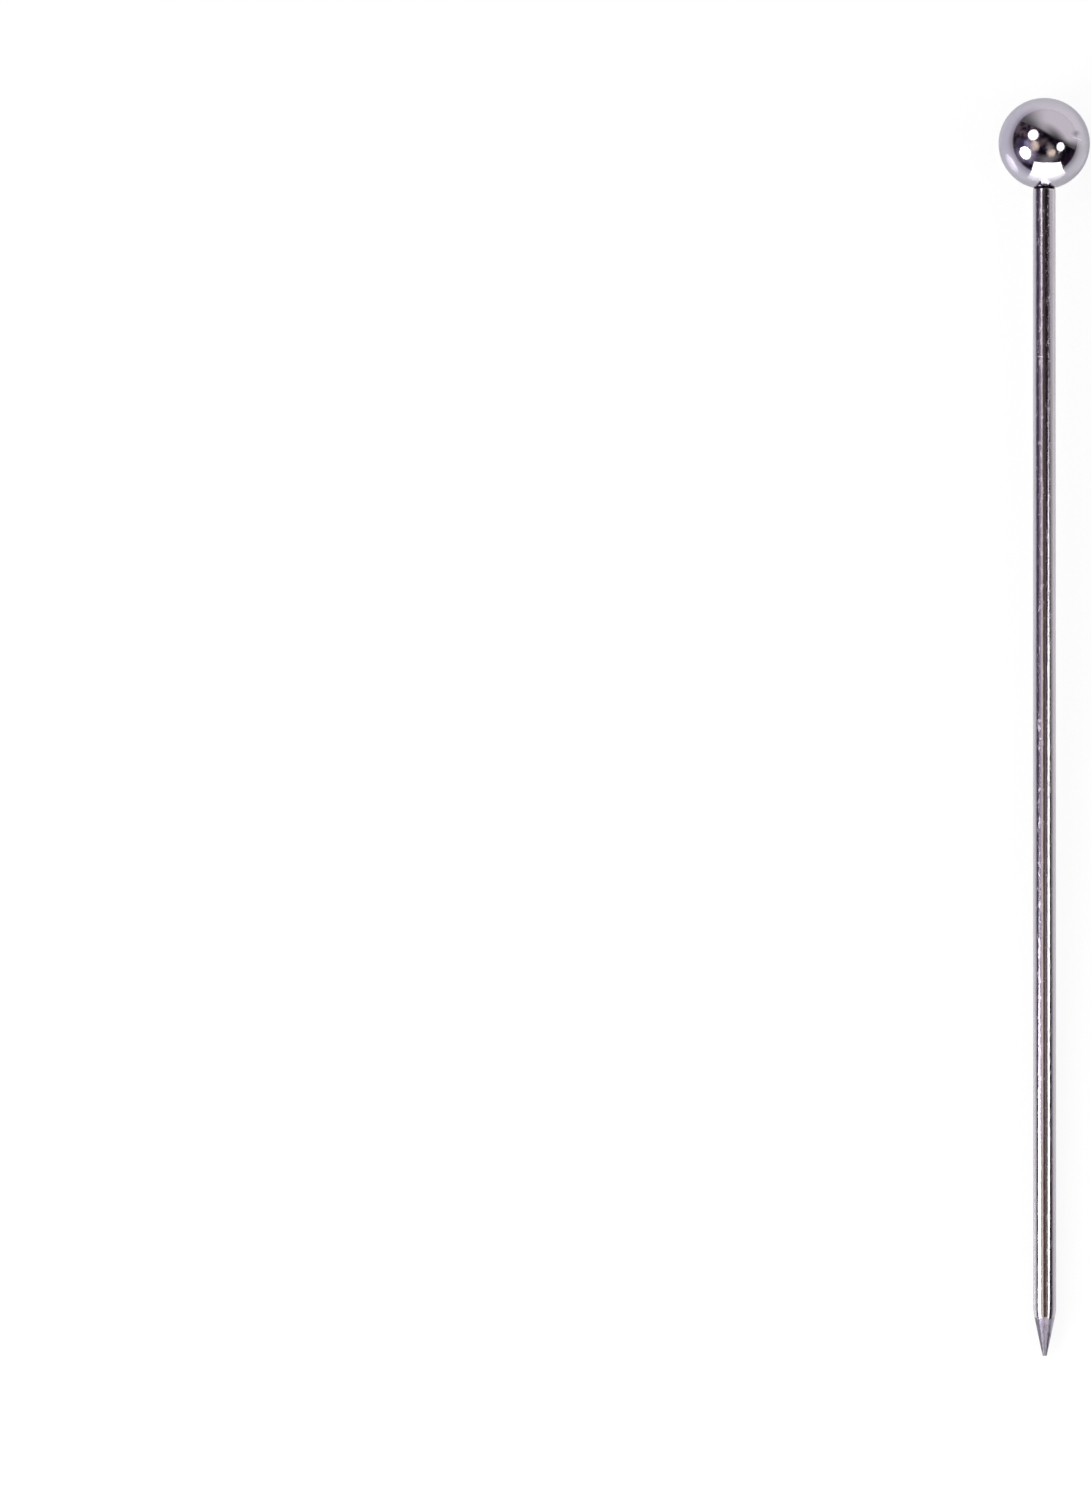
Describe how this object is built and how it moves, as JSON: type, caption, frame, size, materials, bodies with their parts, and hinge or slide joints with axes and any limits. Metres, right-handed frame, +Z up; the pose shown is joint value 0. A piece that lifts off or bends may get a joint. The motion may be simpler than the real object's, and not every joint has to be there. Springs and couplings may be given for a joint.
{
  "type": "cocktail pick",
  "caption": "Slim steel cocktail pick: a round rod with a polished ball on one end and a short ground point with a blunt tip on the other.",
  "frame": {"origin": "on the floor, under the middle of the lying pick's box", "axes": "+Z up, +Y along the lying pick from its point towards its ball"},
  "size_m": [0.008, 0.11, 0.008],
  "materials": {
    "polished_ball": "mirror polished stainless steel",
    "drawn_rod": "bright drawn stainless steel with fine lengthwise lines and a satin ground point"
  },
  "bodies": {
    "root": {"ball": "polished_ball", "skewer": "drawn_rod"}
  },
  "joints": []
}
